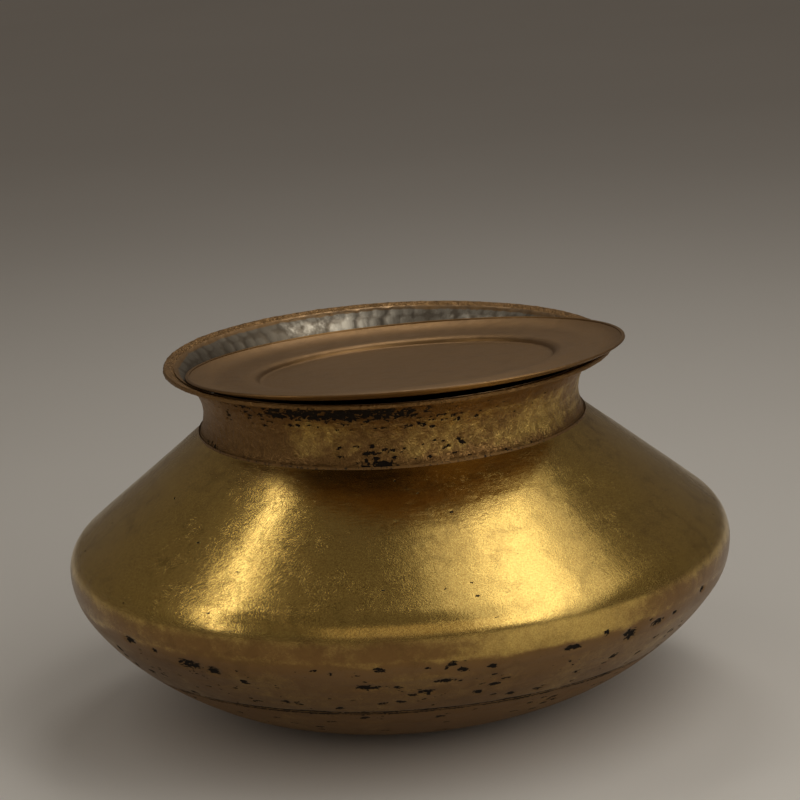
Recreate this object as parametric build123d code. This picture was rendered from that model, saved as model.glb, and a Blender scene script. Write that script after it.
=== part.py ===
"""A squat brass cooking pot with a loose dished lid, built up from hammered sheet.

The pot is three sheet shells turned about +Z: a dished bottom, a belly with a conical
shoulder, and a flared neck collar. The bottom's lip laps inside the belly, the shoulder's
upturned spigot laps inside the collar, and both laps are closed with brazing spelter. The
mouth is rolled round an iron wire, and the inside is wiped with tin. The lid is a separate
shallow dish. It lies askew in the mouth: its low edge is inside the flare, its edge bears
on the rolled rim at each side, and its high side overhangs the mouth.

Millimetres, +Z up, origin in the middle of the flat that the pot stands on.
"""

import math
import os

from build123d import *

# ---- Driving dimensions of the pot's outside ----
belly_radius = 210.0  # the widest circle
bottom_arc_radius = 189.0
bottom_arc_angle = 41.0  # the bottom's slope where it meets the belly
haunch_arc_radius = 150.0  # the belly just above the seam
haunch_arc_angle = 14.0
equator_lower_radius = 42.0
equator_upper_radius = 24.0
shoulder_slope = 39.2  # of the straight cone, from the horizontal
spigot_radius = 116.8  # the shoulder's upturned edge, inside the collar
spigot_fillet_radius = 19.0
flare_radius = 31.0  # outside of the collar's flare, seen in section
rim_bead_radius = 1.7
mouth_radius = 142.5  # over the rolled rim
rim_wire_radius = 0.9

# ---- Sheet thicknesses ----
bottom_sheet = 1.8
belly_sheet = 1.5
collar_sheet = 1.5
seam_gap = 0.3  # filled with spelter
tin_thickness = 0.25
wire_clearance = 0.02

# ---- Laps ----
lip_sheet = 1.2  # the bottom's lip is thinned and set inwards
lip_root = 6.0  # how far below the seam the lip starts
lip_length = 12.0  # how far above the seam the lip ends
collar_lap_angle = 42.0  # how much of the shoulder's upturned fillet the collar covers
spigot_height = 4.0  # the spigot's straight end above the fillet
neck_bead_width = 1.4
tin_edge_below_rim = 4.0

# ---- Driving dimensions of the lid. Its edge circle lies in its own Z = 0 ----
lid_radius = 137.0
lid_sheet = 1.2
lid_floor_radius = 91.5
lid_floor_depth = 9.4
lid_step_radius = 2.2  # inside of both bends of the step round the floor
lid_step_angle = 40.0
lid_flange_slope = 4.5
lid_brim_slope = 26.0  # at the edge
lid_hem_radius = 1.1

# ---- How the lid lies in the mouth ----
lid_tilt = 5.1
lid_high_side = -66.0  # azimuth of the raised side, from +X
lid_shift = 26.0  # towards the raised side
lid_height = 227.7  # of the edge circle's centre


def direction(angle):
    """A unit vector in the section plane, at an angle from the radial direction."""
    a = math.radians(angle)
    return Vector(math.cos(a), math.sin(a))


def arc_angle(length, radius):
    """The angle of an arc of a given length."""
    return math.degrees(length / radius)


def arc_band(centre, radius_a, radius_b, angle_a, angle_b):
    """The face between two concentric arcs."""
    inner, outer = sorted((radius_a, radius_b))
    start, end = sorted((angle_a, angle_b))
    outer_arc = CenterArc(centre, outer, start, end - start)
    inner_arc = CenterArc(centre, inner, start, end - start)
    first_side = Line(outer_arc @ 0, inner_arc @ 0)
    last_side = Line(outer_arc @ 1, inner_arc @ 1)
    return make_face([outer_arc, inner_arc, first_side, last_side])


def line_band(start, end, near, far):
    """The face between two lines parallel to start-end, at two distances to its left."""
    along = (end - start).normalized()
    left = Vector(-along.Y, along.X)
    corners = [start + left * near, end + left * near, end + left * far, start + left * far]
    return make_face(Polyline(*corners, close=True))


def disc(centre, radius):
    """A round face."""
    return Pos(centre.X, centre.Y) * Circle(radius)


def turned(section):
    """The solid that a section in the (radius, height) plane makes about +Z."""
    return revolve(Plane.XZ * section, Axis.Z)


# ---- The pot's outside line: arc centres, and the points where one arc meets the next ----
# The line runs up from the flat, with the inside of the pot on its left.
seam_angle = bottom_arc_angle - 90
haunch_end_angle = seam_angle + haunch_arc_angle
shoulder_angle = 90 - shoulder_slope

bottom_reach = bottom_arc_radius * math.cos(math.radians(seam_angle))
haunch_reach = haunch_arc_radius * (direction(haunch_end_angle).X - direction(seam_angle).X)
equator_reach = equator_lower_radius * (1 - direction(haunch_end_angle).X)
base_flat_radius = belly_radius - bottom_reach - haunch_reach - equator_reach

bottom_centre = Vector(base_flat_radius, bottom_arc_radius)
seam_point = bottom_centre + direction(seam_angle) * bottom_arc_radius
haunch_centre = seam_point - direction(seam_angle) * haunch_arc_radius
haunch_end = haunch_centre + direction(haunch_end_angle) * haunch_arc_radius
lower_centre = haunch_end - direction(haunch_end_angle) * equator_lower_radius
upper_centre = Vector(belly_radius - equator_upper_radius, lower_centre.Y)
shoulder_start = upper_centre + direction(shoulder_angle) * equator_upper_radius

# The straight shoulder ends where a fillet turns it up into the spigot.
fillet_x = spigot_radius + spigot_fillet_radius
shoulder_end_x = fillet_x - direction(shoulder_angle).X * spigot_fillet_radius
shoulder_rise = (shoulder_start.X - shoulder_end_x) * math.tan(math.radians(shoulder_slope))
shoulder_end = Vector(shoulder_end_x, shoulder_start.Y + shoulder_rise)
fillet_centre = shoulder_end + direction(shoulder_angle) * spigot_fillet_radius
fillet_angle = 180 + shoulder_angle
neck_z = fillet_centre.Y
spigot_foot = Vector(spigot_radius, neck_z)
spigot_top = spigot_foot + Vector(0, spigot_height)

# The collar's flare curves outwards round a centre level with the neck.
collar_fillet_radius = spigot_fillet_radius - seam_gap
neck_radius = spigot_radius + seam_gap + collar_sheet
flare_centre = Vector(neck_radius + flare_radius, neck_z)
flare_inside = flare_radius + collar_sheet

# The rolled rim touches the flare's inside face.
bead_x = mouth_radius - rim_bead_radius
bead_reach = flare_inside - rim_bead_radius
bead_rise = math.sqrt(bead_reach**2 - (flare_centre.X - bead_x) ** 2)
bead_centre = Vector(bead_x, neck_z + bead_rise)
bead_angle = 180 - math.degrees(math.atan2(bead_rise, flare_centre.X - bead_x))

# The bottom's lip starts below the seam and ends above it, on the haunch.
lip_offset = belly_sheet + seam_gap
lip_inside = lip_offset + lip_sheet
lip_root_angle = seam_angle - arc_angle(lip_root, bottom_arc_radius)
lip_end_angle = seam_angle + arc_angle(lip_length, haunch_arc_radius)


def bottom_section():
    """The flat, the dished wall, and the lip that laps inside the belly."""
    flat = line_band(Vector(0, 0), Vector(base_flat_radius, 0), 0, bottom_sheet)
    inside = bottom_arc_radius - bottom_sheet
    wall = arc_band(bottom_centre, inside, bottom_arc_radius, -90, seam_angle)
    middle = bottom_arc_radius - bottom_sheet / 2
    root_inside = bottom_arc_radius - lip_inside
    root = arc_band(bottom_centre, middle, root_inside, lip_root_angle, seam_angle)
    lip_near = haunch_arc_radius - lip_offset
    lip_far = haunch_arc_radius - lip_inside
    lip = arc_band(haunch_centre, lip_near, lip_far, seam_angle, lip_end_angle)
    return flat + wall + root + lip


def belly_wall(near, far, haunch_start_angle):
    """A layer that follows the belly's outside line between two distances inside it."""
    haunch_near = haunch_arc_radius - near
    haunch_far = haunch_arc_radius - far
    lower_near = equator_lower_radius - near
    lower_far = equator_lower_radius - far
    upper_near = equator_upper_radius - near
    upper_far = equator_upper_radius - far
    fillet_near = spigot_fillet_radius + near
    fillet_far = spigot_fillet_radius + far
    haunch = arc_band(haunch_centre, haunch_near, haunch_far, haunch_start_angle, haunch_end_angle)
    lower = arc_band(lower_centre, lower_near, lower_far, haunch_end_angle, 0)
    upper = arc_band(upper_centre, upper_near, upper_far, 0, shoulder_angle)
    cone = line_band(shoulder_start, shoulder_end, near, far)
    fillet = arc_band(fillet_centre, fillet_near, fillet_far, fillet_angle, 180)
    spigot = line_band(spigot_foot, spigot_top, near, far)
    return haunch + lower + upper + cone + fillet + spigot


def belly_section():
    """The haunch above the seam, the equator, the conical shoulder and its spigot."""
    edge_angle = seam_angle + arc_angle(seam_gap, haunch_arc_radius)
    return belly_wall(0, belly_sheet, edge_angle)


def collar_section():
    """The collar's skirt over the spigot, its flare, and the rolled rim with its bore."""
    skirt_outside = collar_fillet_radius - collar_sheet
    skirt_end = 180 + collar_lap_angle
    skirt = arc_band(fillet_centre, skirt_outside, collar_fillet_radius, 180, skirt_end)
    flare = arc_band(flare_centre, flare_radius, flare_inside, bead_angle, 180)
    bead = disc(bead_centre, rim_bead_radius)
    bore = disc(bead_centre, rim_wire_radius + wire_clearance)
    return skirt + flare + bead - bore


def belly_braze_section():
    """The film of spelter between the bottom's lip and the belly. It closes the seam."""
    near = haunch_arc_radius - belly_sheet
    far = haunch_arc_radius - lip_offset
    return arc_band(haunch_centre, near, far, seam_angle, lip_end_angle)


def neck_braze_section():
    """The film of spelter under the collar's skirt, and the bead along the skirt's edge."""
    edge = 180 + collar_lap_angle
    film = arc_band(fillet_centre, collar_fillet_radius, spigot_fillet_radius, 180, edge)
    on_shoulder = fillet_centre + direction(edge) * spigot_fillet_radius
    toe = fillet_centre + direction(edge + 5) * (spigot_fillet_radius - 0.05)
    on_skirt = fillet_centre + direction(edge) * (spigot_fillet_radius - neck_bead_width)
    return film + make_face(Polyline(on_shoulder, toe, on_skirt, close=True))


def tin_section():
    """The tin wiped over the whole inside, up to just below the rolled rim."""
    flat_far = bottom_sheet + tin_thickness
    flat = line_band(Vector(0, 0), Vector(base_flat_radius, 0), bottom_sheet, flat_far)
    wall_near = bottom_arc_radius - bottom_sheet
    wall_far = bottom_arc_radius - flat_far
    wall = arc_band(bottom_centre, wall_near, wall_far, -90, lip_root_angle)
    # over the lip, with a step up on to it and a step down off it
    lip_far = lip_inside + tin_thickness
    step_up_angle = lip_root_angle - arc_angle(tin_thickness, bottom_arc_radius)
    step_down_angle = lip_end_angle + arc_angle(tin_thickness, haunch_arc_radius)
    root_near = bottom_arc_radius - lip_inside
    root_far = bottom_arc_radius - lip_far
    step_up = arc_band(bottom_centre, wall_near, root_far, step_up_angle, lip_root_angle)
    root = arc_band(bottom_centre, root_near, root_far, lip_root_angle, seam_angle)
    belly_near = haunch_arc_radius - belly_sheet
    over_near = haunch_arc_radius - lip_inside
    over_far = haunch_arc_radius - lip_far
    over = arc_band(haunch_centre, over_near, over_far, seam_angle, step_down_angle)
    step_down = arc_band(haunch_centre, belly_near, over_far, lip_end_angle, step_down_angle)
    belly = belly_wall(belly_sheet, belly_sheet + tin_thickness, lip_end_angle)
    # over the spigot's end and up the flare
    cap_end = spigot_top + Vector(0, tin_thickness)
    cap_reach = seam_gap + tin_thickness
    cap = line_band(spigot_top, cap_end, -cap_reach, belly_sheet + tin_thickness)
    flare_start = 180 - math.degrees(math.asin(spigot_height / flare_inside))
    flare_end = bead_angle + arc_angle(rim_bead_radius + tin_edge_below_rim, flare_inside)
    flare_far = flare_inside + tin_thickness
    flare = arc_band(flare_centre, flare_inside, flare_far, flare_end, flare_start)
    return flat + wall + step_up + root + over + step_down + belly + cap + flare


def lid_section():
    """The lid: flat floor, step, gently rising flange, upturned brim and hemmed edge."""
    bend_outer = lid_step_radius + lid_sheet
    floor_end = Vector(lid_floor_radius, -lid_floor_depth)
    floor = line_band(Vector(0, -lid_floor_depth), floor_end, 0, -lid_sheet)
    # the two bends of the step, the second one turned over
    up_end_angle = lid_step_angle - 90
    up_centre = floor_end + Vector(0, lid_step_radius)
    bend_up = arc_band(up_centre, lid_step_radius, bend_outer, -90, up_end_angle)
    up_end = up_centre + direction(up_end_angle) * lid_step_radius
    over_centre = up_end + direction(up_end_angle) * bend_outer
    over_start_angle = lid_step_angle + 90
    over_end_angle = lid_flange_slope + 90
    bend_over = arc_band(
        over_centre, lid_step_radius, bend_outer, over_start_angle, over_end_angle
    )
    over_end = over_centre + direction(over_end_angle) * bend_outer
    # the brim is an arc that takes up the rise left between the flange and the edge
    run = lid_radius - over_end.X
    rise = -over_end.Y
    flange_tan = math.tan(math.radians(lid_flange_slope))
    brim_run_factor = direction(lid_brim_slope).Y - direction(lid_flange_slope).Y
    brim_rise_factor = direction(lid_flange_slope).X - direction(lid_brim_slope).X
    spare_rise = rise - run * flange_tan
    brim_radius = spare_rise / (brim_rise_factor - brim_run_factor * flange_tan)
    brim_x = lid_radius - brim_radius * brim_run_factor
    brim_start = Vector(brim_x, over_end.Y + (brim_x - over_end.X) * flange_tan)
    flange = line_band(over_end, brim_start, 0, -lid_sheet)
    brim_centre = brim_start + direction(over_end_angle) * brim_radius
    brim_end_angle = lid_brim_slope - 90
    brim = arc_band(
        brim_centre, brim_radius, brim_radius + lid_sheet, lid_flange_slope - 90, brim_end_angle
    )
    hem_rise = direction(brim_end_angle).Y * (brim_radius + lid_hem_radius)
    hem_centre = Vector(lid_radius - lid_hem_radius, brim_centre.Y + hem_rise)
    hem = disc(hem_centre, lid_hem_radius)
    return floor + bend_up + bend_over + flange + brim + hem


def laid_in_mouth(lid):
    """The lid tilted, turned and shifted to where it lies on the pot."""
    towards = direction(lid_high_side) * lid_shift
    turn = Rot(0, 0, lid_high_side)
    tilt = Rot(0, -lid_tilt, 0)
    return Pos(towards.X, towards.Y, lid_height) * turn * tilt * lid


parts = {
    "bottom_bowl": turned(bottom_section()),
    "belly_shell": turned(belly_section()),
    "neck_collar": turned(collar_section()),
    "rim_wire": turned(disc(bead_centre, rim_wire_radius)),
    "belly_seam_braze": turned(belly_braze_section()),
    "neck_seam_braze": turned(neck_braze_section()),
    "tin_lining": turned(tin_section()),
    "lid": laid_in_mouth(turned(lid_section())),
}

os.makedirs("parts", exist_ok=True)
for name, solid in parts.items():
    export_step(solid, f"parts/{name}.step")
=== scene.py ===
"""The looks of a squat hammered brass cooking pot with a tinned inside and a loose dished lid.

Every sheet is turned from its CAD node's own section, then beaten: hammer marks, dents and the
larger pits are in the mesh, and the finer wrinkles and stains are in the materials, which also
hold some painted shade and painted highlights.
Metres, in the CAD frame. The pot's front is the -Y side.
"""

import math

import bpy
import numpy as np
from mathutils import Matrix, Vector


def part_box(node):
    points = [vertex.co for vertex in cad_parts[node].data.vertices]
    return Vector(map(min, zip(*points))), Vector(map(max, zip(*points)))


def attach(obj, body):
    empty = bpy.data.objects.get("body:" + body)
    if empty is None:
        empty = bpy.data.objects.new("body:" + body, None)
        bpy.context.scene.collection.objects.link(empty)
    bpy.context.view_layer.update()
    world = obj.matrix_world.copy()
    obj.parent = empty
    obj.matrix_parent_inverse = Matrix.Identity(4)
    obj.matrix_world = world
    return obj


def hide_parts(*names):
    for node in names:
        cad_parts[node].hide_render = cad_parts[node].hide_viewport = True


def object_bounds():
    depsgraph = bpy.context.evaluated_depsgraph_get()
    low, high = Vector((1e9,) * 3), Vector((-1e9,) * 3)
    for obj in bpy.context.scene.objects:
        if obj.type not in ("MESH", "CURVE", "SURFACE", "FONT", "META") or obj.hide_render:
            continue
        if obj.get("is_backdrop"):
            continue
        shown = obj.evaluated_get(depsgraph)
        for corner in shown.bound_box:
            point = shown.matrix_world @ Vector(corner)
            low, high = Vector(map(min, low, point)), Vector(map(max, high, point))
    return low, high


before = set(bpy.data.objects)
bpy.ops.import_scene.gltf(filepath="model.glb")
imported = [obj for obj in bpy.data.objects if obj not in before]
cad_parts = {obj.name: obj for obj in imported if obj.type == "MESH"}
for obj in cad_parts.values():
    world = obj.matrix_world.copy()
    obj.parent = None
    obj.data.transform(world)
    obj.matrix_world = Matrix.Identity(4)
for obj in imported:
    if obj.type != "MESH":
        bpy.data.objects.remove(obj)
cad_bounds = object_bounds()

MM = 0.001
PLANE_TOLERANCE = 0.002 * MM  # how near the section plane a vertex lies
CORNER_ANGLE = math.radians(25)  # a bend sharper than this stays a corner
LONG_CHORD = 1.8  # a chord this much longer than its neighbour is a straight run
IN_PLACE = Matrix.Identity(4)


def lowest_radius(node):
    """How far from the axis the node's lowest edge lies."""
    lowest = min(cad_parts[node].data.vertices, key=lambda vertex: vertex.co.z)
    return lowest.co.xy.length


# ---- Places read from the frame ----
BELLY_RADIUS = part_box("belly_shell")[1].x
SEAM_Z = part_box("belly_shell")[0].z
SEAM_RADIUS = lowest_radius("belly_shell")
NECK_FOOT_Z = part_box("neck_collar")[0].z
RIM_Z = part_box("neck_collar")[1].z
CORE = np.array([0, 0, RIM_Z / 2])  # the dents push towards and away from here

# ---- Wear ----
CREASE_Z = 85 * MM  # where the scoured part of the belly ends
CRACK_DEPTH = 0.7 * MM
CRACK_HALF_WIDTH = 1.5 * MM
ALL_ROUND = (-180, 180)  # degrees
SEAM_BLACK = 2.5  # over 1, so that ragged edges don't break the line
SCAB_DEPTH = 0.7 * MM
LID_DROOP = 2.6 * MM
LID_DROOP_REACH = math.radians(95)  # to each side of the raised side


# ---------------------------------------------------------------- sections of the CAD nodes


def section_chain(node, to_local):
    """The node's longest outline in its half-plane y = 0, x > 0, as (radius, height) points."""
    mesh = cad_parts[node].data
    keys = []
    for vertex in mesh.vertices:
        p = to_local @ vertex.co
        on_plane = abs(p.y) < PLANE_TOLERANCE and p.x > -PLANE_TOLERANCE
        keys.append((round(max(p.x, 0), 6), round(p.z, 6)) if on_plane else None)
    near = {}
    for edge in mesh.edges:
        a, b = (keys[i] for i in edge.vertices)
        if a and b and a != b:
            near.setdefault(a, set()).add(b)
            near.setdefault(b, set()).add(a)
    chains = []
    unused = set(near)
    while unused:
        ends = [p for p in unused if len(near[p]) == 1]
        chain = [min(ends or unused)]
        unused.remove(chain[0])
        while True:
            onwards = sorted(near[chain[-1]] & unused)
            if not onwards:
                break
            chain.append(onwards[0])
            unused.remove(onwards[0])
        chains.append(chain)
    longest = max(chains, key=len)
    closed = len(near[longest[0]]) > 1
    if not closed:  # the flat at the axis has no vertex there
        longest = [(0, longest[0][1])] + longest + [(0, longest[-1][1])]
    points = np.array(longest)
    following = np.roll(points, -1, 0)
    twice_area = (points[:, 0] * following[:, 1] - following[:, 0] * points[:, 1]).sum()
    if twice_area < 0:  # the outside of the metal is kept on the right of the line
        points = points[::-1]
    return points, closed


def turns_of(points, closed):
    """The bend at each point of a line, in radians. The ends of an open line count as sharp."""
    chords = np.roll(points, -1, 0) - points
    headings = np.arctan2(chords[:, 1], chords[:, 0])
    turns = headings - np.roll(headings, 1)
    turns = np.abs((turns + math.pi) % math.tau - math.pi)
    if not closed:
        turns[[0, -1]] = math.pi
    return turns


def smooth_run(points, step):
    """Points no more than a step apart, on the smooth curve through one run of a line."""
    chords = np.diff(points, axis=0)
    lengths = np.hypot(*chords.T)
    slopes = chords / lengths[:, None]
    tangents = [slopes[0]]
    for before, after, a, b in zip(slopes[:-1], slopes[1:], lengths[:-1], lengths[1:]):
        if a > LONG_CHORD * b:
            tangents.append(before)
        elif b > LONG_CHORD * a:
            tangents.append(after)
        else:
            tangents.append((before * b + after * a) / (a + b))
    tangents.append(slopes[-1])
    if len(points) > 2:  # an end's tangent mirrors its neighbour's about the chord
        for end, inner, slope in ((0, 1, slopes[0]), (-1, -2, slopes[-1])):
            tangents[end] = 2 * (tangents[inner] @ slope) * slope - tangents[inner]
    made = [points[:1]]
    for k, length in enumerate(lengths):
        count = max(1, math.ceil(length / step))
        t = (np.arange(1, count + 1) / count)[:, None]
        start = (2 * t**3 - 3 * t**2 + 1) * points[k] + (t**3 - 2 * t**2 + t) * length * tangents[k]
        end = (3 * t**2 - 2 * t**3) * points[k + 1] + (t**3 - t**2) * length * tangents[k + 1]
        made.append(start + end)
    return np.concatenate(made)


def section_line(node, side, fine, coarse, to_local=IN_PLACE):
    """A node's section as a line, and whether it closes.

    The line has fine steps on the side that shows, and coarse steps on the other.
    """
    points, closed = section_chain(node, to_local)
    corners = np.flatnonzero(turns_of(points, closed) > CORNER_ANGLE)
    if closed:
        if len(corners) == 0:
            corners = np.array([0])
        points = np.roll(points, -corners[0], 0)
        points = np.concatenate([points, points[:1]])
        corners = np.append(corners - corners[0], len(points) - 1)
    runs = []
    for a, b in zip(corners[:-1], corners[1:]):
        run = points[a : b + 1]
        across = run[-1] - run[0]
        shows = across[1] * side[0] - across[0] * side[1] > 0
        runs.append(smooth_run(run, fine if shows else coarse))
    line = np.concatenate([runs[0]] + [run[1:] for run in runs[1:]])
    if closed:
        line = line[:-1]
        # the line starts half way round from its widest point, so "along" has no jump there
        shift = (int(line[:, 0].argmax()) + len(line) // 2) % len(line)
        line = np.roll(line, -shift, 0)
    return line, closed


# ---------------------------------------------------------------- relief beaten into the metal


class Sheet:
    """The grid of points that a turned piece has: rows along its section, columns round it.

    side is the way that the shown side faces in the section plane. fine and coarse are the
    rows' spacing on that side and on the other.
    """

    def __init__(self, node, side, fine, coarse, columns, matrix=IN_PLACE):
        line, self.closed = section_line(node, side, fine, coarse, matrix.inverted())
        self.node = node
        self.matrix = matrix
        self.radius = line[:, :1]
        self.height = line[:, 1:]
        self.angle = np.arange(columns)[None, :] * math.tau / columns - math.pi
        chords = np.diff(line, axis=0, append=line[:1])
        lengths = np.hypot(*chords.T)
        along = np.concatenate([[0], np.cumsum(lengths)[:-1]])
        self.along = along[:, None]
        towards = chords / np.maximum(lengths, 1e-9)[:, None]
        if not self.closed:
            towards[-1] = towards[-2]
        heading = towards + np.roll(towards, 1, 0)
        if not self.closed:
            heading[0] = towards[0]
        heading /= np.hypot(*heading.T)[:, None]
        self.normal = np.stack([heading[:, 1], -heading[:, 0]], 1)
        self.shows = soft_step(self.normal @ np.array(side), 0, 0.3)[:, None]
        self.relief = np.zeros((len(line), columns))
        self.dirt = np.zeros((len(line), columns))
        self.ridge = np.zeros((len(line), columns))

    def points(self):
        """The grid's places in the piece's own frame, with the relief along the normal."""
        radius = np.maximum(self.radius + self.relief * self.normal[:, :1], 0)
        height = self.height + self.relief * self.normal[:, 1:]
        return np.stack([radius * np.cos(self.angle), radius * np.sin(self.angle), height], -1)

    def beat(self, width, length, softness, depth, seed):
        """Facets left by rows of hammer blows, hollow in the middle and raised between."""
        rng = np.random.default_rng(seed)
        up = self.along / length
        rows = int(up.max()) + 4
        radii = np.interp(np.arange(rows), up[:, 0], self.radius[:, 0])
        counts = np.maximum(6, np.round(math.tau * radii / width)).astype(int)
        shift = rng.uniform(0, 1, rows)
        side_jitter = rng.uniform(-0.22, 0.22, (rows, counts.max()))
        row_jitter = rng.uniform(-0.2, 0.2, (rows, counts.max()))
        deeper = rng.uniform(0.5, 1.5, (rows, counts.max()))
        closeness = np.zeros(self.relief.shape)
        strength = np.zeros(self.relief.shape)
        for row_step in (-1, 0, 1, 2):
            row = np.clip(np.floor(up).astype(int) + row_step, 0, rows - 1)
            place = (self.angle / math.tau + 0.5) * counts[row] + shift[row]
            for column_step in (-1, 0, 1):
                column = np.floor(place).astype(int) + column_step
                blow = column % counts[row]
                across = place - column - 0.5 - side_jitter[row, blow]
                rise = up - row - row_jitter[row, blow]
                near = np.exp(-(across**2 + rise**2) / softness)
                closeness += near
                strength += near * deeper[row, blow]
        height = -4 * softness * np.log(closeness + 1e-30)
        self.relief += depth * np.minimum(height, 1.5) * strength / (closeness + 1e-30) * self.shows
        self.ridge = soft_step(height, 0.5, 1.1)

    def pit(self, azimuth, height, half_length, half_width, depth, slant=0.0):
        """One hollow with a dark floor, in the side that shows. Its length runs round the piece."""
        off = np.abs(self.height - height) + 10 * (1 - self.shows)
        middle_row = off[:, 0].argmin()
        reach = 1.7 * max(half_length, half_width)
        rows = np.flatnonzero(np.abs(self.along[:, 0] - self.along[middle_row, 0]) < reach)
        radius = max(self.radius[middle_row, 0], 5 * MM)
        columns = self.angle.shape[1]
        middle = round((azimuth / math.tau + 0.5) * columns)
        span = min(int(reach / radius / math.tau * columns) + 2, columns // 2)
        across = np.arange(middle - span, middle + span + 1)
        side = ((across / columns - 0.5) * math.tau - azimuth)[None, :] * radius
        rise = self.along[rows] - self.along[middle_row]
        lengthways = (side * math.cos(slant) + rise * math.sin(slant)) / half_length
        widthways = (rise * math.cos(slant) - side * math.sin(slant)) / half_width
        hollow = np.exp(-((lengthways**2 + widthways**2) ** 2))
        window = np.ix_(rows, across % columns)
        self.relief[window] -= depth * hollow
        self.dirt[window] = np.maximum(self.dirt[window], hollow)

    def crack(self):
        """The dark crack along the seam under the belly, on the side that shows."""
        off = np.hypot(self.radius - SEAM_RADIUS, self.height - SEAM_Z)
        uneven = 1 + 0.5 * bumps(self.points(), 14 * MM, 61)
        lip = np.exp(-((off / (CRACK_HALF_WIDTH * uneven)) ** 2)) * self.shows
        self.relief -= CRACK_DEPTH * lip
        self.dirt = np.maximum(self.dirt, SEAM_BLACK * lip)

    def piece(self, material, body, slot, dents):
        """The sheet as a mesh piece that stands for its CAD node."""
        places = self.points()
        places = places + dents(places)
        rows, columns = self.relief.shape
        index = np.arange(rows * columns).reshape(rows, columns)
        on_axis = self.radius[:, 0] < 0.01 * MM
        index[on_axis] = index[on_axis][:, :1]
        upper = np.roll(index, -1, 0) if self.closed else index[1:]
        lower = index if self.closed else index[:-1]
        corners = [lower, np.roll(lower, -1, 1), np.roll(upper, -1, 1), upper]
        corners = np.stack(corners, -1).reshape(-1, 4)
        kept = corners != np.roll(corners, 1, 1)  # a face at the axis has three corners
        sizes = kept.sum(1)
        used, loops = np.unique(corners[kept], return_inverse=True)
        mesh = bpy.data.meshes.new(self.node)
        mesh.vertices.add(len(used))
        mesh.vertices.foreach_set("co", as_floats(places.reshape(-1, 3)[used]))
        mesh.loops.add(len(loops))
        mesh.loops.foreach_set("vertex_index", loops.astype(np.int32).ravel())
        mesh.polygons.add(len(sizes))
        starts = np.cumsum(sizes) - sizes
        mesh.polygons.foreach_set("loop_start", starts.astype(np.int32))
        mesh.update(calc_edges=True)
        mesh.validate()
        round_it = BELLY_RADIUS * np.stack([np.cos(self.angle), np.sin(self.angle)], -1)
        round_it = np.broadcast_to(round_it, (rows, columns, 2))
        along = np.broadcast_to(self.along[..., None], (rows, columns, 1))
        spread = np.concatenate([round_it, along], -1).reshape(-1, 3)[used]
        layer = mesh.attributes.new("spread", "FLOAT_VECTOR", "POINT")
        layer.data.foreach_set("vector", as_floats(spread))
        for label, values in (("dirt", self.dirt), ("ridge", self.ridge)):
            layer = mesh.attributes.new(label, "FLOAT", "POINT")
            layer.data.foreach_set("value", as_floats(values.reshape(-1)[used]))
        mesh.transform(self.matrix)
        mesh.shade_smooth()
        mesh.set_sharp_from_angle(angle=math.radians(50))
        mesh.materials.append(material)
        piece = bpy.data.objects.new(self.node + "_beaten", mesh)
        bpy.context.scene.collection.objects.link(piece)
        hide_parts(self.node)
        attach(piece, body)


def as_floats(values):
    """A flat list of single-precision numbers, as Blender's mesh layers take them."""
    return values.astype(np.float32).ravel()


def soft_step(value, low, high):
    """From 0 at low to 1 at high, smoothly."""
    share = np.clip((value - low) / (high - low), 0, 1)
    return share * share * (3 - 2 * share)


def bumps(places, pitch, seed):
    """Smooth bumps about pitch apart, from -1 to 1, at places in space."""
    size = 24
    lattice = np.random.default_rng(seed).uniform(-1, 1, (size, size, size))
    cell = np.floor(places / pitch).astype(int)
    share = places / pitch - cell
    share = share * share * (3 - 2 * share)
    total = 0
    for corner in np.ndindex(2, 2, 2):
        weight = np.prod(np.where(corner, share, 1 - share), -1)
        i, j, k = np.moveaxis((cell + corner) % size, -1, 0)
        total = total + weight * lattice[i, j, k]
    return total


def pot_dents(places):
    """How the pot's sheets are pushed about, the same for all so that the laps stay shut."""
    outwards = places - CORE
    outwards /= np.linalg.norm(outwards, axis=-1, keepdims=True)
    reach = 0.50 * MM * bumps(places, 75 * MM, 1) + 0.18 * MM * bumps(places, 26 * MM, 2)
    return outwards * reach[..., None]


def lid_dents(places):
    """The lid is a little uneven, and its edge droops on the raised side, which is its +X."""
    angle = np.arctan2(places[..., 1], places[..., 0])
    out = np.hypot(places[..., 0], places[..., 1])
    droop = soft_step(-np.abs(angle), -LID_DROOP_REACH, 0) * soft_step(out, 100 * MM, 137 * MM)
    moved = np.zeros(places.shape)
    moved[..., 2] = 0.2 * MM * bumps(places, 60 * MM, 3) - LID_DROOP * droop
    return moved


# ---------------------------------------------------------------- materials


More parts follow.
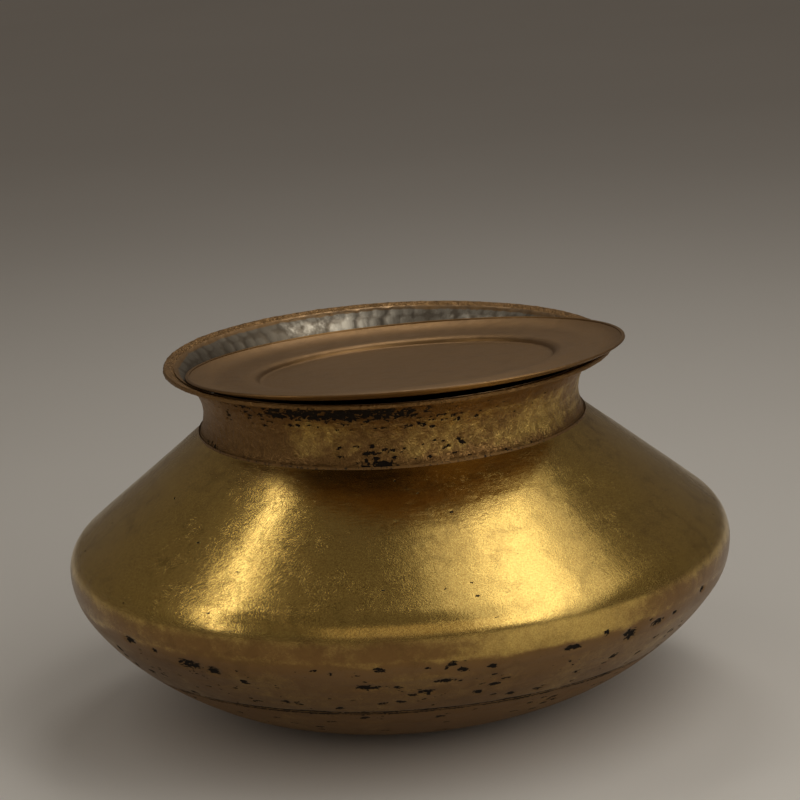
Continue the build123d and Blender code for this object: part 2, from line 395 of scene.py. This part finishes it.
class Finish:
    """One procedural material, and short ways to make its nodes. Lengths are in metres."""

    def __init__(self, name):
        self.material = bpy.data.materials.new(name)
        self.material.use_nodes = True
        self.tree = self.material.node_tree
        self.shader = self.tree.nodes["Principled BSDF"]
        self.place = self.node("TexCoord").outputs["Object"]
        self.spread = self.node("Attribute", attribute_name="spread").outputs["Vector"]
        self.dirt = self.node("Attribute", attribute_name="dirt").outputs["Fac"]
        self.ridge = self.node("Attribute", attribute_name="ridge").outputs["Fac"]
        self.height = self.node("SeparateXYZ", {"Vector": self.place}).outputs["Z"]

    def put(self, socket, value):
        """Link a node's output to a socket, or set the socket's own value."""
        if isinstance(value, bpy.types.NodeSocket):
            self.tree.links.new(value, socket)
        else:
            socket.default_value = value

    def node(self, kind, inputs=None, **settings):
        """A new node of a kind, with its inputs and its settings."""
        made = self.tree.nodes.new("ShaderNode" + kind)
        for key, value in settings.items():
            setattr(made, key, value)
        for key, value in (inputs or {}).items():
            self.put(made.inputs[key], value)
        return made

    def stretched(self, vector, x, y, z):
        """A vector scaled along its axes: a larger number makes the pattern finer that way."""
        made = self.node("VectorMath", {0: vector, 1: (x, y, z)}, operation="MULTIPLY")
        return made.outputs["Vector"]

    def shaken(self, vector, pitch, reach):
        """A vector moved about at random by up to half of reach."""
        colour = self.node("TexNoise", {"Vector": vector, "Scale": 1 / pitch}).outputs["Color"]
        centred = self.node("VectorMath", {0: colour, 1: (0.5, 0.5, 0.5)}, operation="SUBTRACT")
        offset = self.stretched(centred.outputs["Vector"], reach, reach, reach)
        return self.node("VectorMath", {0: vector, 1: offset}, operation="ADD").outputs["Vector"]

    def noise(self, pitch, vector=None, detail=4.0, roughness=0.55, warp=0.0):
        """Clouds from 0 to 1, about pitch across."""
        inputs = {
            "Vector": vector or self.place,
            "Scale": 1 / pitch,
            "Detail": detail,
            "Roughness": roughness,
            "Distortion": warp,
        }
        return self.node("TexNoise", inputs).outputs["Fac"]

    def cells(self, pitch, vector):
        """How far, in pitches, the nearest of some scattered points is."""
        return self.node("TexVoronoi", {"Vector": vector, "Scale": 1 / pitch}).outputs["Distance"]

    def step(self, value, low, high, out_low=0.0, out_high=1.0):
        """From out_low where the value is low to out_high where it is high, smoothly."""
        inputs = {0: value, 1: low, 2: high, 3: out_low, 4: out_high}
        return self.node("MapRange", inputs, interpolation_type="SMOOTHSTEP").outputs[0]

    def math(self, operation, a, b=0.0):
        """One sum on numbers or on nodes' outputs."""
        return self.node("Math", {0: a, 1: b}, operation=operation).outputs[0]

    def times(self, *factors):
        """The product of all of them."""
        total = factors[0]
        for factor in factors[1:]:
            total = self.math("MULTIPLY", total, factor)
        return total

    def most(self, *values):
        """The largest of them."""
        total = values[0]
        for value in values[1:]:
            total = self.math("MAXIMUM", total, value)
        return total

    def band(self, low, high, soft):
        """1 between two heights, and 0 outside them."""
        above = self.step(self.height, low - soft, low + soft)
        below = self.step(self.height, high - soft, high + soft, 1.0, 0.0)
        return self.times(above, below)

    def mix(self, share, a, b):
        """A colour between a, at a share of 0, and b, at 1."""
        return self.node("Mix", {0: share, 6: a, 7: b}, data_type="RGBA").outputs[2]

    def blend(self, share, a, b):
        """A number between a, at a share of 0, and b, at 1."""
        return self.node("Mix", {0: share, 2: a, 3: b}, data_type="FLOAT").outputs[0]

    def bump(self, height, depth):
        """A bump whose height of 0 to 1 stands for depth metres."""
        inputs = {"Height": height, "Distance": depth, "Strength": 1.0}
        return self.node("Bump", inputs).outputs["Normal"]

    def finish(self, colour, roughness, metallic, normal):
        """The material, with its shader's inputs set."""
        self.put(self.shader.inputs["Base Color"], colour)
        self.put(self.shader.inputs["Roughness"], roughness)
        self.put(self.shader.inputs["Metallic"], metallic)
        self.put(self.shader.inputs["Normal"], normal)
        return self.material


BRIGHT_BRASS = (0.80, 0.565, 0.17, 1)
WORN_BRASS = (0.60, 0.385, 0.105, 1)
BROWN_BRASS = (0.260, 0.145, 0.052, 1)
OXIDE_BROWN = (0.250, 0.155, 0.078, 1)
DARK_BRASS = (0.085, 0.045, 0.016, 1)
SCALE_BLACK = (0.012, 0.008, 0.005, 1)


def tarnish_and_painted_light_of(f, mottle, leather, zone_brown_and_painted_light, brown, patchy):
    """Where tarnish gathers: in clouds, in the mottle and the leather, and in the zones, whose
    brown on the belly and the neck also holds painted shade and a painted highlight.
    """
    tarnish_and_painted_light = f.math("ADD", f.times(f.noise(48 * MM, detail=5, roughness=0.6), 0.9), zone_brown_and_painted_light)
    tarnish_and_painted_light = f.math("ADD", tarnish_and_painted_light, f.times(mottle, 0.6))
    tarnish_and_painted_light = f.math("ADD", tarnish_and_painted_light, f.times(leather, 0.35))
    tarnish_and_painted_light = f.math("ADD", tarnish_and_painted_light, f.times(ridges_of(f), 0.04))
    half_way = 1.55 - brown
    return f.step(tarnish_and_painted_light, half_way - 0.3 / patchy, half_way + 0.3 / patchy)


def ridges_of(f):
    """Some of the ridges between the hammer marks."""
    return f.times(f.ridge, f.step(f.noise(34 * MM, detail=3), 0.4, 0.65))


def creases_of(f, creased):
    """Fine creases, here and there."""
    line = f.math("ABSOLUTE", f.math("SUBTRACT", f.noise(4.5 * MM, detail=2, warp=2.0), 0.5))
    line = f.step(line, 0.0, 0.035, 1.0, 0.0)
    return f.times(line, f.step(f.noise(17 * MM, detail=3), 0.40, 0.62), creased)


def pits_of(f, zone_pits):
    """Flat ragged lenses that gather in patches."""
    lens = f.shaken(f.stretched(f.spread, 0.42, 0.42, 1.0), 3 * MM, 3.0 * MM)
    patches = f.math("ADD", f.noise(20 * MM, detail=4, roughness=0.7), zone_pits)
    pit_size = f.step(patches, 0.66, 1.1, 0.0, 0.45)
    return f.step(f.math("SUBTRACT", pit_size, f.cells(2.6 * MM, lens)), 0.0, 0.06)


def scabs_of(f):
    """Scale in the floors of the mesh's pits and cracks, with ragged edges."""
    ragged = f.noise(2.4 * MM, f.stretched(f.spread, 0.45, 0.45, 1.0), detail=5, warp=1.5)
    ragged = f.math("ADD", f.dirt, f.times(f.math("SUBTRACT", ragged, 0.5), 3.2))
    return f.times(f.step(ragged, 0.55, 0.65), f.step(f.dirt, 0.03, 0.2))


def blotches_of(f, zone_black):
    """Blotches of scale on the surface."""
    blotch = f.noise(4.6 * MM, detail=4, roughness=0.55, warp=1.0)
    return f.step(f.math("ADD", blotch, zone_black), 0.86, 0.90)


def brass(name, zones, brown, patchy, roughness, creased, curled, wiped_depth, rumple):
    """Old hammered brass.

    brown is how much of it is tarnished and patchy how sharply. creased is how strong its fine
    creases are. curled and wiped_depth are how deep its curly dents and its wiping marks are,
    as shares of rumple, the depth of the whole skin. zones returns where extra brown, oxide,
    lens-shaped pits and black blotches gather; on the belly and the neck the extra brown also
    holds painted shade, and on the belly a painted highlight.
    """
    f = Finish(name)
    zone_brown_and_painted_light, oxide, zone_pits, zone_black = zones(f)
    mottle = f.noise(8 * MM, detail=5, roughness=0.65, warp=0.6)
    leather = f.noise(2.6 * MM, detail=4, roughness=0.6, warp=1.2)
    speckle = f.noise(0.9 * MM, detail=3)
    wiped = f.noise(0.9 * MM, f.stretched(f.spread, 0.04, 0.04, 1.0), detail=4)
    tarnish_and_painted_light = tarnish_and_painted_light_of(f, mottle, leather, zone_brown_and_painted_light, brown, patchy)
    crease = creases_of(f, creased)
    black = f.most(pits_of(f, zone_pits), scabs_of(f), blotches_of(f, zone_black))

    colour = f.mix(f.step(speckle, 0.35, 0.7), BRIGHT_BRASS, WORN_BRASS)
    colour = f.mix(tarnish_and_painted_light, colour, BROWN_BRASS)
    streaks = f.noise(7 * MM, f.stretched(f.spread, 0.10, 0.10, 1.0), detail=4, roughness=0.6)
    streaks = f.step(f.math("ADD", streaks, f.times(leather, 0.4)), 0.5, 0.9, 0.3, 1.0)
    colour = f.mix(f.times(oxide, streaks), colour, OXIDE_BROWN)
    colour = f.mix(f.times(crease, 0.5), colour, DARK_BRASS)
    colour = f.mix(f.times(ridges_of(f), 0.16), colour, DARK_BRASS)
    colour = f.mix(black, colour, SCALE_BLACK)

    rough = f.math("ADD", f.times(tarnish_and_painted_light, 0.12), f.times(mottle, 0.08))
    rough = f.math("ADD", rough, f.step(wiped, 0.3, 0.7, -0.02, 0.03))
    rough = f.math("ADD", rough, f.times(oxide, 0.12))
    rough = f.math("ADD", rough, roughness - 0.04)
    rough = f.blend(black, rough, 0.9)
    metallic = f.blend(black, 1.0, 0.1)
    f.put(f.shader.inputs["Specular IOR Level"], 0.2)

    curl = f.math("ABSOLUTE", f.math("SUBTRACT", f.noise(6 * MM, detail=2, warp=3.0), 0.5))
    skin = f.math("ADD", f.times(mottle, 0.7), f.times(leather, 0.24))
    skin = f.math("ADD", skin, f.times(f.step(curl, 0.0, 0.16), curled))
    skin = f.math("ADD", skin, f.times(speckle, 0.04))
    skin = f.math("ADD", skin, f.times(wiped, wiped_depth))
    skin = f.math("SUBTRACT", skin, f.times(crease, 0.3))
    skin = f.math("SUBTRACT", skin, f.times(black, 0.9))
    return f.finish(colour, rough, metallic, f.bump(skin, rumple))


def belly_zones(f):
    """Above its crease the belly is scoured bright; below it the haunch is brown and pitted."""
    wander = f.times(f.math("SUBTRACT", f.noise(30 * MM, detail=4), 0.5), 8 * MM)
    height = f.math("ADD", f.height, wander)
    low = f.step(height, CREASE_Z - 4 * MM, CREASE_Z + 3 * MM, 1.0, 0.0)
    crease = f.step(height, CREASE_Z - 12 * MM, CREASE_Z - 1 * MM, 0.0, 0.30)
    top = f.step(f.height, NECK_FOOT_Z - 22 * MM, NECK_FOOT_Z - 2 * MM)
    # the top of the belly is darker near the neck, except a strip near x = 52 mm, front and back,
    # which is painted lighter as a painted highlight where the band of light runs up to the neck
    along_x = f.node("SeparateXYZ", {"Vector": f.place}).outputs["X"]
    off_painted_highlight_top = f.step(f.math("ABSOLUTE", f.math("SUBTRACT", along_x, 52 * MM)), 15 * MM, 45 * MM)
    brown = f.math("ADD", f.times(low, 0.55), f.times(top, off_painted_highlight_top, 0.28))
    brown = f.math("ADD", brown, f.times(top, -0.10))
    brown = f.math("ADD", brown, f.times(crease, low))
    # the turn just above the crease is painted darker as painted shade, except near x = 85 mm,
    # front and back, where it is left bright as a painted highlight streak
    off_painted_highlight_streak = f.step(f.math("ABSOLUTE", f.math("SUBTRACT", along_x, 85 * MM)), 20 * MM, 60 * MM)
    turn = f.band(CREASE_Z, CREASE_Z + 16 * MM, 6 * MM)
    brown = f.math("ADD", brown, f.times(turn, off_painted_highlight_streak, 0.6))
    pits = f.math("ADD", f.times(low, 0.26), f.times(top, 0.14))
    return brown, f.times(low, 0.75), pits, f.times(low, 0.06)


def bottom_zones(f):
    """All of the bottom is brown, with the most pits close under the seam."""
    high = f.step(f.height, SEAM_Z - 22 * MM, SEAM_Z)
    return f.times(high, 0.10), 0.75, f.times(high, 0.30), 0.05


def neck_zones(f):
    """The neck is black with pits under the rim, most of all on the left of the front, and painted
    darker on its far left as painted shade.
    """
    parts = f.node("SeparateXYZ", {"Vector": f.place}).outputs
    left = f.step(parts["X"], -20 * MM, 60 * MM, 1.0, 0.25)
    left = f.times(left, f.step(parts["X"], -105 * MM, -60 * MM, 0.4, 1.0))
    under_rim = f.band(RIM_Z - 15 * MM, RIM_Z - 3.5 * MM, 4 * MM)
    foot = f.step(f.height, NECK_FOOT_Z, NECK_FOOT_Z + 9 * MM, 1.0, 0.0)
    patchy_foot = f.times(foot, f.step(f.noise(40 * MM, detail=2), 0.48, 0.62))
    black = f.math("ADD", f.times(under_rim, left, 0.36), f.times(patchy_foot, 0.30))
    black = f.math("ADD", black, f.times(left, 0.12))
    # the far left of the neck is painted darker brown as painted shade
    far_left_painted_shade = f.step(parts["X"], -105 * MM, -55 * MM, 0.9, 0.0)
    # the top of the rim's bead is painted darker brown: partly tarnish, partly painted shade under
    # the lid's edge
    bead = f.step(f.height, RIM_Z - 3.5 * MM, RIM_Z - 2.5 * MM)
    brown = f.math("ADD", f.times(under_rim, 0.30), f.times(foot, 0.25))
    brown = f.math("ADD", brown, f.times(bead, 0.5))
    return f.math("ADD", brown, far_left_painted_shade), 0.0, 0.12, black


def lid_zones(f):
    """The lid has no zones: oxide lies evenly over it."""
    return 0.0, 0.5, 0.0, 0.0


def tinned(name):
    """Wiped tin: grey and stained, dark between the facets, with brass bare near the rim, and
    painted darker on its left as painted shade.
    """
    f = Finish(name)
    clouds = f.noise(30 * MM, detail=5, roughness=0.65)
    mottle = f.noise(4 * MM, detail=4, warp=0.8)
    fine = f.noise(0.9 * MM, detail=3)
    streaks = f.noise(2.0 * MM, f.stretched(f.spread, 1.0, 1.0, 0.15), detail=4)
    along_x = f.node("SeparateXYZ", {"Vector": f.place}).outputs["X"]
    # the left of the tin is painted darker as painted shade
    far_left_painted_shade = f.step(along_x, -80 * MM, -50 * MM, 0.35, 0.0)
    stain_and_painted_shade = f.math("ADD", f.math("ADD", clouds, f.times(mottle, 0.5)), far_left_painted_shade)
    stain_and_painted_shade = f.step(stain_and_painted_shade, 0.65, 0.95)
    near_rim = f.step(f.height, RIM_Z - 6 * MM, RIM_Z - 2.5 * MM)
    bare = f.math("ADD", f.times(near_rim, 0.55), f.times(clouds, 0.5))
    bare = f.step(f.math("ADD", bare, f.times(mottle, 0.3)), 0.72, 0.86)
    colour = f.mix(streaks, (0.56, 0.52, 0.44, 1), (0.34, 0.30, 0.24, 1))
    colour = f.mix(f.times(stain_and_painted_shade, 0.8), colour, (0.13, 0.105, 0.075, 1))
    colour = f.mix(f.times(f.ridge, 0.6), colour, (0.10, 0.075, 0.05, 1))
    colour = f.mix(f.times(bare, 0.8), colour, BROWN_BRASS)
    rough = f.math("ADD", f.times(stain_and_painted_shade, 0.18), f.times(mottle, 0.16))
    rough = f.math("ADD", rough, 0.22)
    skin = f.math("ADD", f.times(mottle, 0.7), f.times(fine, 0.15))
    return f.finish(colour, rough, 1.0, f.bump(skin, 0.12 * MM))


def spelter(name):
    """Brazing spelter: dark, crusted and rough."""
    f = Finish(name)
    lumps = f.noise(2.2 * MM, detail=5, roughness=0.7, warp=0.5)
    grain = f.noise(0.6 * MM, detail=3)
    crust = f.step(f.math("ADD", lumps, f.times(grain, 0.3)), 0.66, 0.8)
    colour = f.mix(crust, BROWN_BRASS, SCALE_BLACK)
    rough = f.math("ADD", f.times(crust, 0.3), 0.45)
    skin = f.math("ADD", lumps, f.times(grain, 0.2))
    return f.finish(colour, rough, f.blend(crust, 0.9, 0.2), f.bump(skin, 0.35 * MM))


def iron(name):
    """Rusted iron wire."""
    f = Finish(name)
    rust = f.step(f.noise(3 * MM, detail=5, roughness=0.7), 0.4, 0.6)
    grain = f.noise(0.4 * MM, detail=3)
    colour = f.mix(rust, (0.18, 0.17, 0.16, 1), (0.16, 0.06, 0.025, 1))
    rough = f.math("ADD", f.times(rust, 0.35), f.times(grain, 0.2))
    rough = f.math("ADD", rough, 0.35)
    return f.finish(colour, rough, f.blend(rust, 1.0, 0.2), f.bump(grain, 0.1 * MM))


# ---------------------------------------------------------------- the pieces


def scatter(sheet, count, azimuths, heights, size, depth, seed):
    """Flat pits at random, within a range of azimuths (degrees) and heights."""
    rng = np.random.default_rng(seed)
    for _ in range(count):
        azimuth = math.radians(rng.uniform(*azimuths))
        half_length = size * rng.uniform(0.5, 1.5)
        half_width = half_length * rng.uniform(0.3, 0.7)
        share = rng.uniform(0.5, 1.0)
        place = rng.uniform(*heights)
        sheet.pit(azimuth, place, half_length, half_width, depth * share, rng.normal(0, 0.15))


# The largest scabs: azimuth in degrees, height, half length, half width (mm)
BELLY_SCABS = (
    (-129, 78, 10.0, 4.0),
    (-124, 76, 5.0, 4.0),
    (-143, 85, 6.0, 2.4),
    (-97, 70, 8.0, 2.6),
    (-84, 72, 7.0, 2.2),
    (-87, 64, 5.0, 2.2),
    (-62, 81, 8.0, 2.4),
    (-50, 79, 6.0, 4.4),
    (-43, 80, 7.0, 2.6),
    (-29, 86, 3.6, 2.4),
)


def make_belly():
    sheet = Sheet("belly_shell", side=(1, 0), fine=1.25 * MM, coarse=5 * MM, columns=1080)
    sheet.beat(width=15 * MM, length=13 * MM, softness=0.05, depth=0.022 * MM, seed=11)
    for azimuth, height, half_length, half_width in BELLY_SCABS:
        place = math.radians(azimuth), height * MM, half_length * MM, half_width * MM
        sheet.pit(*place, SCAB_DEPTH)
    haunch = (SEAM_Z + 3 * MM, CREASE_Z)
    shoulder = (100 * MM, NECK_FOOT_Z - 6 * MM)
    scatter(sheet, 170, ALL_ROUND, haunch, size=2.6 * MM, depth=0.35 * MM, seed=12)
    scatter(sheet, 60, ALL_ROUND, shoulder, size=1.0 * MM, depth=0.2 * MM, seed=13)
    sheet.crack()
    clear_of_skirt = soft_step(-sheet.height, -NECK_FOOT_Z + 1 * MM, -NECK_FOOT_Z + 6 * MM)
    sheet.relief *= clear_of_skirt
    material = brass(
        "old_brass_belly",
        belly_zones,
        brown=0.30,
        patchy=0.8,
        roughness=0.18,
        creased=0.5,
        curled=0.12,
        wiped_depth=0.01,
        rumple=0.12 * MM,
    )
    sheet.piece(material, "pot", "brass_belly", pot_dents)


def make_bottom():
    side = (0.35, -0.94)
    sheet = Sheet("bottom_bowl", side, fine=1.4 * MM, coarse=6 * MM, columns=900)
    sheet.beat(width=18 * MM, length=16 * MM, softness=0.06, depth=0.06 * MM, seed=21)
    wall = (12 * MM, SEAM_Z - 3 * MM)
    scatter(sheet, 160, ALL_ROUND, wall, size=2.6 * MM, depth=0.35 * MM, seed=22)
    sheet.crack()
    material = brass(
        "old_brass_bottom",
        bottom_zones,
        brown=0.92,
        patchy=0.8,
        roughness=0.36,
        creased=0.4,
        curled=0.2,
        wiped_depth=0.01,
        rumple=0.2 * MM,
    )
    sheet.piece(material, "pot", "brass_bottom", pot_dents)


def make_neck():
    sheet = Sheet("neck_collar", side=(1, 0), fine=1.0 * MM, coarse=1.5 * MM, columns=900)
    sheet.beat(width=8 * MM, length=7 * MM, softness=0.07, depth=0.16 * MM, seed=31)
    under_rim = (RIM_Z - 22 * MM, RIM_Z - 4 * MM)
    foot = (NECK_FOOT_Z, NECK_FOOT_Z + 13 * MM)
    scatter(sheet, 130, (-150, -70), under_rim, size=1.8 * MM, depth=0.5 * MM, seed=32)
    scatter(sheet, 150, (-70, 210), under_rim, size=1.2 * MM, depth=0.4 * MM, seed=33)
    scatter(sheet, 36, (-106, -66), foot, size=1.8 * MM, depth=0.4 * MM, seed=34)
    # the foot is feathered thin, and the rim's bead is slimmer
    feathered = soft_step(-sheet.height, -NECK_FOOT_Z - 10 * MM, -NECK_FOOT_Z) * sheet.shows
    sheet.relief -= 1.35 * MM * feathered
    sheet.relief -= 0.6 * MM * soft_step(sheet.height, RIM_Z - 3.4 * MM, RIM_Z - 2 * MM)
    material = brass(
        "old_brass_neck",
        neck_zones,
        brown=0.64,
        patchy=1.2,
        roughness=0.29,
        creased=0.8,
        curled=1.0,
        wiped_depth=0.01,
        rumple=0.28 * MM,
    )
    sheet.piece(material, "pot", "brass_neck", pot_dents)


def make_tin():
    side = (-0.9, 0.44)
    sheet = Sheet("tin_lining", side, fine=1.5 * MM, coarse=8 * MM, columns=760)
    sheet.beat(width=9.5 * MM, length=9 * MM, softness=0.03, depth=0.20 * MM, seed=41)
    sheet.piece(tinned("wiped_tin"), "pot", "tin", pot_dents)


def make_neck_braze():
    sheet = Sheet("neck_seam_braze", side=(1, 0), fine=0.6 * MM, coarse=3 * MM, columns=900)
    sheet.relief -= 0.7 * MM * soft_step(sheet.normal[:, 1:], 0.2, 0.5)
    sheet.piece(spelter("neck_spelter"), "pot", "braze", pot_dents)


def lid_frame():
    """Where the lid's own frame is: its axis up through its floor, and X to its high side."""
    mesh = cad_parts["lid"].data
    largest = max(mesh.polygons, key=lambda face: face.area)
    axis = largest.normal * math.copysign(1, largest.normal.z)
    level = largest.center.dot(axis)
    on_floor = [v.co for v in mesh.vertices if abs(v.co.dot(axis) - level) < PLANE_TOLERANCE]
    places = {tuple(round(c, 6) for c in place) for place in on_floor}
    centre = sum((Vector(place) for place in places), Vector()) / len(places)
    high_side = Vector((-axis.x, -axis.y, 0))
    x = (high_side - high_side.dot(axis) * axis).normalized()
    y = axis.cross(x)
    turn = Matrix((x, y, axis)).transposed().to_4x4()
    return Matrix.Translation(centre) @ turn


def make_lid():
    side = (0, 1)
    sheet = Sheet("lid", side, fine=1.3 * MM, coarse=3 * MM, columns=720, matrix=lid_frame())
    sheet.beat(width=15 * MM, length=13 * MM, softness=0.08, depth=0.035 * MM, seed=51)
    top = sheet.shows[:, 0] > 0.5
    floor = sheet.height[top].min()
    floor_radius = sheet.radius[top & (sheet.height[:, 0] < floor + 0.1 * MM)].max()
    edge = sheet.radius.max()
    # the step round the floor is raised and softened, and the hem is hammered thinner
    rise = soft_step(sheet.radius, floor_radius - 3 * MM, floor_radius + 6 * MM)
    fall = soft_step(sheet.radius, floor_radius + 7 * MM, edge - 5 * MM)
    sheet.relief += 2.2 * MM * rise * (1 - fall) * sheet.shows
    sheet.relief -= 0.35 * MM * soft_step(sheet.radius, edge - 2.6 * MM, edge - 1.5 * MM)
    material = brass(
        "old_brass_lid",
        lid_zones,
        brown=1.08,
        patchy=1.0,
        roughness=0.24,
        creased=0.3,
        curled=0.04,
        wiped_depth=0.30,
        rumple=0.16 * MM,
    )
    sheet.piece(material, "lid", "brass_lid", lid_dents)


def make_hidden():
    """The wire inside the rolled rim, and the spelter between the bottom and the belly."""
    wire = Sheet("rim_wire", side=(1, 0), fine=1 * MM, coarse=1 * MM, columns=360)
    wire.relief -= 0.2 * MM
    wire.piece(iron("rusted_iron"), "pot", "iron_wire", pot_dents)
    film = Sheet("belly_seam_braze", side=(1, 0), fine=2 * MM, coarse=2 * MM, columns=540)
    film.piece(spelter("belly_spelter"), "pot", "braze", pot_dents)


# ---------------------------------------------------------------- floor, light and camera


def make_floor():
    half = 6.0  # metres
    corners = [(-half, -half, 0), (half, -half, 0), (half, half, 0), (-half, half, 0)]
    mesh = bpy.data.meshes.new("floor")
    mesh.from_pydata(corners, [], [(0, 1, 2, 3)])
    floor = bpy.data.objects.new("floor", mesh)
    bpy.context.scene.collection.objects.link(floor)
    f = Finish("plain_floor")
    cloud = f.noise(0.5, detail=2)
    colour = f.mix(cloud, (0.74, 0.72, 0.69, 1), (0.80, 0.78, 0.75, 1))
    mesh.materials.append(f.finish(colour, 0.85, 0.0, f.bump(f.noise(2 * MM), 0.05 * MM)))
    floor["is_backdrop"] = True


def soft_box(name, ends, distance, width, radiance, tint):
    """A long softbox that faces the belly. ends are the ways to its two ends, from there."""
    start, end = (Vector(way).normalized() * distance for way in ends)
    middle = (start + end) / 2
    lamp = bpy.data.lights.new(name, "AREA")
    lamp.shape = "RECTANGLE"
    lamp.size = width
    lamp.size_y = (end - start).length
    lamp.energy = radiance * math.pi * lamp.size * lamp.size_y
    lamp.color = tint
    box = bpy.data.objects.new(name, lamp)
    away = middle.normalized()
    long_way = (end - start).normalized()
    across = long_way.cross(away)
    turn = Matrix((across, long_way, away)).transposed().to_4x4()
    target = Vector((0, 0, NECK_FOOT_Z / 2))
    box.matrix_world = Matrix.Translation(target + middle) @ turn
    bpy.context.scene.collection.objects.link(box)
    box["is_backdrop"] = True


def make_light():
    white = (1.0, 0.96, 0.88)
    amber = (1.0, 0.82, 0.62)
    soft_box(
        "left_strip",
        ends=((-0.38, 0.20, 0.90), (-0.84, -0.50, 0.15)),
        distance=1.4,
        width=0.12,
        radiance=2.8,
        tint=white,
    )
    soft_box(
        "right_box",
        ends=((0.24, 0.22, 0.95), (0.60, -0.78, 0.15)),
        distance=1.3,
        width=0.34,
        radiance=1.1,
        tint=white,
    )
    soft_box(
        "right_glow",
        ends=((0.24, 0.22, 0.95), (0.60, -0.78, 0.10)),
        distance=1.6,
        width=1.0,
        radiance=0.62,
        tint=white,
    )
    soft_box(
        "front_fill",
        ends=((-0.5, -1.0, 0.42), (0.7, -1.0, 0.42)),
        distance=3.0,
        width=1.3,
        radiance=0.22,
        tint=amber,
    )
    soft_box(
        "hair_light",
        ends=((-0.08, 0.62, 0.72), (0.16, 0.62, 0.72)),
        distance=1.5,
        width=0.3,
        radiance=4.6,
        tint=white,
    )
    world = bpy.data.worlds.new("studio")
    world.use_nodes = True
    world.node_tree.nodes["Background"].inputs["Color"].default_value = (1.0, 0.86, 0.72, 1)
    world.node_tree.nodes["Background"].inputs["Strength"].default_value = 0.11
    bpy.context.scene.world = world


def make_camera():
    """A long lens well in front, above the rim, with a slight roll."""
    yaw, pitch, roll = 0.00297, 0.24199, -0.06339  # radians
    away = 9.3533 * BELLY_RADIUS
    rise = 2.7567 * BELLY_RADIUS
    widest_z = 97.6 * MM  # the height that the camera's rise is measured from
    forward = Vector(
        (math.sin(yaw) * math.cos(pitch), math.cos(yaw) * math.cos(pitch), -math.sin(pitch))
    )
    level_right = forward.cross(Vector((0, 0, 1))).normalized()
    level_up = level_right.cross(forward)
    right = math.cos(roll) * level_right + math.sin(roll) * level_up
    up = math.cos(roll) * level_up - math.sin(roll) * level_right
    lens = bpy.data.cameras.new("photo_camera")
    lens.sensor_width = 36
    lens.lens = 144
    lens.clip_end = 50
    camera = bpy.data.objects.new("photo_camera", lens)
    turn = Matrix((right, up, -forward)).transposed().to_4x4()
    place = Vector((0, -away, widest_z + rise))
    camera.matrix_world = Matrix.Translation(place) @ turn
    bpy.context.scene.collection.objects.link(camera)
    bpy.context.scene.camera = camera


make_belly()
make_bottom()
make_neck()
make_tin()
make_neck_braze()
make_lid()
make_hidden()
make_floor()
make_light()
make_camera()
bpy.context.scene.view_settings.view_transform = "Standard"

sizes = {"cad": cad_bounds, "visual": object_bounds()}
sizes = {name: [list(corner) for corner in bounds] for name, bounds in sizes.items()}
